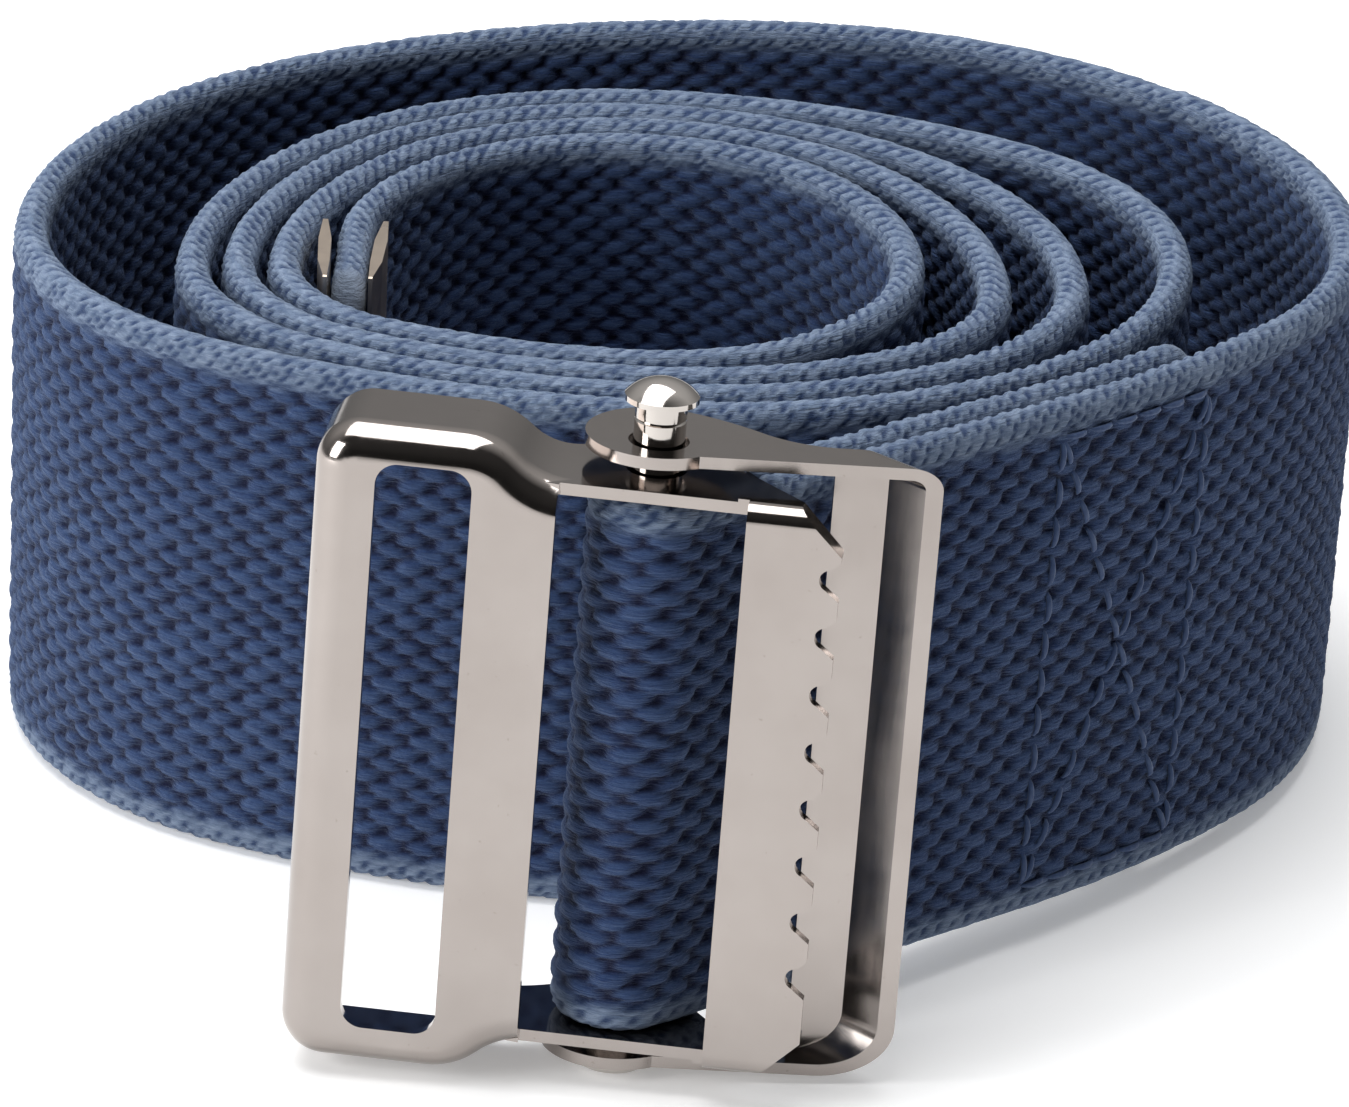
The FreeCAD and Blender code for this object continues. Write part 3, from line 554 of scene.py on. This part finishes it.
def prism(outline, low, high, ease):
    """Rows of a closed tube over a plan outline, drawn in by ease at its low and high ends."""
    middle = outline.mean(axis=0)
    pull = 1 - ease / np.abs(outline - middle).max()
    rows = []
    for z, share in ((low, pull), (low + ease, 1), (high - ease, 1), (high, pull)):
        plan = middle + (outline - middle) * share
        rows.append(np.column_stack([plan, np.full(len(plan), z)]))
    return np.array(rows)


def make_cap():
    """Two crimped leaves of folded sheet, one each side of the strap, and their end fold."""
    x, end = STRAP_END[1]
    # distance from the strap's end, inner face and outer face from the strap's middle
    leaf = [(-0.5, 1.95, 2.35), (3.6, 1.90, 3.05), (9.5, 2.05, 3.30), (14.6, 2.65, 3.15)]
    tubes = []
    for side in (-1, 1):
        inner = [(x + side * near, end + along) for along, near, far in leaf]
        outer = [(x + side * far, end + along) for along, near, far in leaf]
        outline = np.array(inner + outer[::-1])
        if side > 0:
            outline = outline[::-1]
        tubes.append(prism(outline, CAP_LOW, CAP_HIGH, CAP_EASE))
    fold = [(2.3, -0.5), (2.3, -0.15), (0.8, -0.15), (-0.8, -0.15),
            (-2.3, -0.15), (-2.3, -0.5), (-0.8, -0.7), (0.8, -0.7)]
    outline = np.array([(x + across, end + along) for across, along in fold])
    tubes.append(prism(outline, CAP_LOW, CAP_FOLD, CAP_EASE))
    mesh = tubes_mesh("strap_cap", tubes)
    mesh.polygons.foreach_set("use_smooth", np.zeros(len(mesh.polygons), bool))
    return mesh


# ---------------------------------------------------------------- camera, light and floor


LENS = 224.75                         # mm, on a 36 mm wide sensor
EYE = (0.0, -0.7436, 0.3376)          # m
TILT = math.radians(67.0)             # 23 degrees down
ROLL = math.radians(2.47)
MIDDLE = Vector((0.0, 0.0, 0.025))    # m, where the lights point
FLOOR = 3.0                           # m, half the floor's side


def make_camera():
    data = bpy.data.cameras.new("camera")
    data.lens = LENS
    data.sensor_width = 36.0
    camera = bpy.data.objects.new("camera", data)
    bpy.context.scene.collection.objects.link(camera)
    tilt = Matrix.Rotation(TILT, 4, "X")
    roll = Matrix.Rotation(ROLL, 4, "Z")
    camera.matrix_world = Matrix.Translation(EYE) @ tilt @ roll
    bpy.context.scene.camera = camera


def area_light(name, place, size, power):
    """A soft rectangular light that faces the object's middle."""
    data = bpy.data.lights.new(name, "AREA")
    data.shape = "RECTANGLE"
    data.size, data.size_y = size
    data.energy = power
    lamp = bpy.data.objects.new(name, data)
    bpy.context.scene.collection.objects.link(lamp)
    lamp.location = place
    lamp.rotation_euler = (MIDDLE - Vector(place)).to_track_quat("-Z", "Y").to_euler()


def make_studio():
    """Soft light from above and the left, a darker room at the right, a pale floor."""
    world = bpy.data.worlds.new("studio")
    bpy.context.scene.world = world
    world.use_nodes = True
    tree = world.node_tree
    way = tree.nodes.new("ShaderNodeTexCoord")
    split = tree.nodes.new("ShaderNodeSeparateXYZ")
    ramp = tree.nodes.new("ShaderNodeValToRGB")
    raised = tree.nodes.new("ShaderNodeMath")
    raised.operation = "MULTIPLY_ADD"
    raised.inputs[1].default_value = 0.5
    raised.inputs[2].default_value = 0.5
    tree.links.new(way.outputs["Generated"], split.inputs[0])
    tree.links.new(split.outputs["Z"], raised.inputs[0])
    tree.links.new(raised.outputs[0], ramp.inputs[0])
    stops = [(0.0, 0.5), (0.49, 0.5), (0.52, 0.30), (0.64, 0.45), (0.8, 0.8), (1.0, 1.0)]
    elements = ramp.color_ramp.elements
    for index, (share, tone) in enumerate(stops):
        stop = elements[index] if index < 2 else elements.new(share)
        stop.position = share
        stop.color = (tone, tone, tone, 1.0)
    # the room is darker behind the viewer, which gives the bright plate its dark bands
    front = tree.nodes.new("ShaderNodeMapRange")
    limits = {"From Min": -0.35, "From Max": 0.3, "To Min": 0.06, "To Max": 0.7}
    for key, value in limits.items():
        front.inputs[key].default_value = value
    tree.links.new(split.outputs["Y"], front.inputs["Value"])
    tree.links.new(ramp.outputs["Color"], tree.nodes["Background"].inputs["Color"])
    tree.links.new(front.outputs["Result"], tree.nodes["Background"].inputs["Strength"])
    area_light("overhead", (-0.10, 0.05, 0.75), (0.75, 0.6), 6.5)
    area_light("left_front", (-0.68, -0.38, 0.30), (0.35, 0.45), 5.0)
    bpy.context.scene.view_settings.view_transform = "Standard"
    corners = FLOOR * np.array([
        (-1.0, -1.0, 0.0), (1.0, -1.0, 0.0), (1.0, 1.0, 0.0), (-1.0, 1.0, 0.0)])
    mesh = quad_mesh("floor", corners, np.array([[0, 1, 2, 3]]), False)
    floor = bpy.data.objects.new("floor", mesh)
    bpy.context.scene.collection.objects.link(floor)
    mesh.materials.append(floor_material())
    floor.location.z = CAD_BOX[0][2] - 0.0001


# ---------------------------------------------------------------- the belt

make_camera()
make_studio()
strap = Strap()

webbing = place("strap_webbing", make_webbing(strap), webbing_material(), "strap", "webbing")
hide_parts("webbing")

thread = thread_material()
skin = CORE + FLOAT_HIGH - 0.05
needle = place("box_stitch_outer", tubes_mesh("box_stitch_outer", box_stitch(strap, -skin, -1)),
               thread, "strap", "thread")
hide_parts("needle_thread")
bobbin = place("box_stitch_inner",
               tubes_mesh("box_stitch_inner", box_stitch(strap, THICK + skin, 1)),
               thread, "strap", "thread")
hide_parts("bobbin_thread")

nickel = rgb(0.37, 0.335, 0.315), rgb(0.33, 0.295, 0.275)
cap_plate = plate_material("cap_plate", rgb(0.66, 0.56, 0.47), rgb(0.54, 0.45, 0.37),
                           0.25, 0.40)
cap = place("strap_cap", make_cap(), cap_plate, "strap", "tip_plate")
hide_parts("strap_tip")

finishes = {
    "front_frame": plate_material("frame_plate", *nickel, 0.08, 0.13),
    "rear_frame": plate_material("rear_plate", *nickel, 0.12, 0.20),
    "axle_rivet": plate_material("rivet_plate", rgb(0.56, 0.52, 0.49), rgb(0.47, 0.44, 0.41),
                                 0.06, 0.12),
}
for node, material in finishes.items():
    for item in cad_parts[node].material_slots:
        item.material = material
